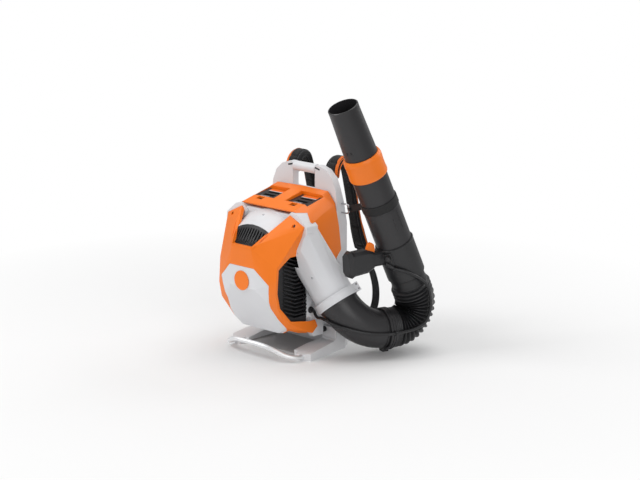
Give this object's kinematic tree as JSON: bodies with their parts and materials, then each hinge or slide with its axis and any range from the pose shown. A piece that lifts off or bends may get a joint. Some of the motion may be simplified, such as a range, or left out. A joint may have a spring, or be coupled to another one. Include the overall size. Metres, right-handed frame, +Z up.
{
  "type": "backpack leaf blower",
  "caption": "Battery backpack leaf blower with a carrying frame, shoulder straps, an elbow and pleated hose, and a blow tube with a control handle.",
  "frame": {"origin": "centre of the base plate's flat underside, on the surface it stands on", "axes": "+Z up, the front panel with its round badge faces -Y, the wearer's back pad faces +Y, the hose and blow tube are on the +X side"},
  "size_m": [0.4793, 0.4507, 0.6947],
  "materials": {
    "orange_plastic": "satin moulded plastic",
    "light_grey_plastic": "fine satin moulded plastic",
    "black_plastic": "textured moulded plastic",
    "dark_grey_plastic": "satin moulded plastic",
    "black_rubber": "matt rubber",
    "black_fabric": "woven nylon over foam",
    "bar_aluminium": "satin tube",
    "bright_steel": "zinc plated",
    "copper_windings": "enamelled copper wire in laminated iron"
  },
  "bodies": {
    "machine": {"front_cover": "orange_plastic", "badge_disc": "orange_plastic", "battery_cowl": "orange_plastic", "base_plate": "light_grey_plastic", "back_frame": "light_grey_plastic", "carry_grip": "light_grey_plastic", "fan_housing": "light_grey_plastic", "outlet_collar": "light_grey_plastic", "rear_casing": "light_grey_plastic", "front_panel": "light_grey_plastic", "motor_plate": "black_plastic", "intake_grille": "black_plastic", "battery_bay_right": "orange_plastic", "battery_bay_left": "orange_plastic", "elbow_tube": "black_plastic", "cable_clip": "black_plastic", "hose_clamp": "dark_grey_plastic", "rubber_mount_lower_right": "black_rubber", "rubber_mount_lower_left": "black_rubber", "rubber_mount_upper_right": "black_rubber", "rubber_mount_upper_left": "black_rubber", "hose_lower": "black_rubber", "cable_gland": "black_rubber", "control_cable_machine": "black_rubber", "control_cable_hose_lower": "black_rubber", "back_pad": "black_fabric", "shoulder_strap_right": "black_fabric", "shoulder_strap_left": "black_fabric", "stand_bar": "bar_aluminium", "motor_can": "bar_aluminium", "motor_controller": "bar_aluminium", "frame_wire_eye": "bright_steel", "collar_screw_rear": "bright_steel", "collar_screw_front": "bright_steel", "motor_bearing_front": "bright_steel", "motor_bearing_rear": "bright_steel", "cover_screw_right": "bright_steel", "cover_screw_left": "bright_steel", "motor_stator": "copper_windings"},
    "fan": {"fan_wheel": "black_plastic", "rotor_shaft": "bright_steel", "fan_nut": "bright_steel"},
    "hose_mid": {"hose_middle": "black_rubber"},
    "tube": {"hose_upper": "black_rubber", "control_tube": "black_plastic", "blow_tube": "dark_grey_plastic", "storage_strap": "black_rubber", "control_cable_hose_upper": "black_rubber"},
    "nozzle": {"nozzle_tube": "dark_grey_plastic"},
    "lock_ring": {"coupling_ring": "orange_plastic"},
    "handle": {"handle_sleeve": "black_plastic", "control_handle": "black_plastic", "control_cable_handle": "black_rubber"},
    "handle_clamp": {"clamp_knob": "dark_grey_plastic"},
    "trigger": {"throttle_trigger": "orange_plastic"},
    "battery_right": {"battery_right": "black_plastic"},
    "battery_left": {"battery_left": "black_plastic"},
    "latch_right": {"battery_latch_right": "black_plastic"},
    "latch_left": {"battery_latch_left": "black_plastic"}
  },
  "joints": [
    {"name": "fan_spin", "type": "hinge", "parent": "machine", "child": "fan", "pos_m": [0, -0.08, 0.23], "axis": [0, 1, 0], "continuous": true},
    {"name": "hose_bend_lower", "type": "hinge", "parent": "machine", "child": "hose_mid", "pos_m": [0.2581, 0.1459, 0.0752], "axis": [-0.9528, 0.2996, 0.0488], "range_deg": [0, 50], "deforming": ["hose_lower", "control_cable_hose_lower"]},
    {"name": "hose_bend_upper", "type": "hinge", "parent": "hose_mid", "child": "tube", "pos_m": [0.27059, 0.17717, 0.12694], "axis": [-0.9528, 0.2996, 0.0488], "range_deg": [0, 50], "deforming": ["hose_upper", "control_cable_hose_upper"]},
    {"name": "nozzle_slide", "type": "slide", "parent": "tube", "child": "nozzle", "axis": [0.08, 0.4029, -0.9117], "range_m": [0, 0.04]},
    {"name": "lock_ring_turn", "type": "hinge", "parent": "tube", "child": "lock_ring", "pos_m": [0.26964, 0.16924, 0.15721], "axis": [-0.08, -0.4029, 0.9117], "range_deg": [0, 40]},
    {"name": "handle_slide", "type": "slide", "parent": "tube", "child": "handle", "axis": [-0.08, -0.4029, 0.9117], "range_m": [0, 0.04], "deforming": ["control_cable_handle"]},
    {"name": "handle_clamp_turn", "type": "hinge", "parent": "handle", "child": "handle_clamp", "pos_m": [0.2743, 0.06138, 0.27009], "axis": [0.2944, -0.8834, -0.3646], "range_deg": [0, 270]},
    {"name": "trigger_pull", "type": "hinge", "parent": "handle", "child": "trigger", "pos_m": [0.23512, 0.02259, 0.28405], "axis": [-0.9679, 0.2499, 0.0255], "range_deg": [0, 14], "stiffness_Nm_per_rad": 0.3, "springref_deg": -5.73},
    {"name": "battery_right_slide", "type": "slide", "parent": "machine", "child": "battery_right", "axis": [0, -0.1736, 0.9848], "range_m": [0, 0.14]},
    {"name": "battery_left_slide", "type": "slide", "parent": "machine", "child": "battery_left", "axis": [0, -0.1736, 0.9848], "range_m": [0, 0.14]},
    {"name": "latch_right_press", "type": "hinge", "parent": "machine", "child": "latch_right", "pos_m": [0.06, -0.07684, 0.39533], "axis": [-1, 0, 0], "range_deg": [0, 10], "stiffness_Nm_per_rad": 0.05, "springref_deg": -5.73},
    {"name": "latch_left_press", "type": "hinge", "parent": "machine", "child": "latch_left", "pos_m": [-0.06, -0.07684, 0.39533], "axis": [-1, 0, 0], "range_deg": [0, 10], "stiffness_Nm_per_rad": 0.05, "springref_deg": -5.73}
  ],
  "couplings": [
    {"joint": "hose_bend_upper", "follows": "hose_bend_lower", "ratio": 1}
  ]
}
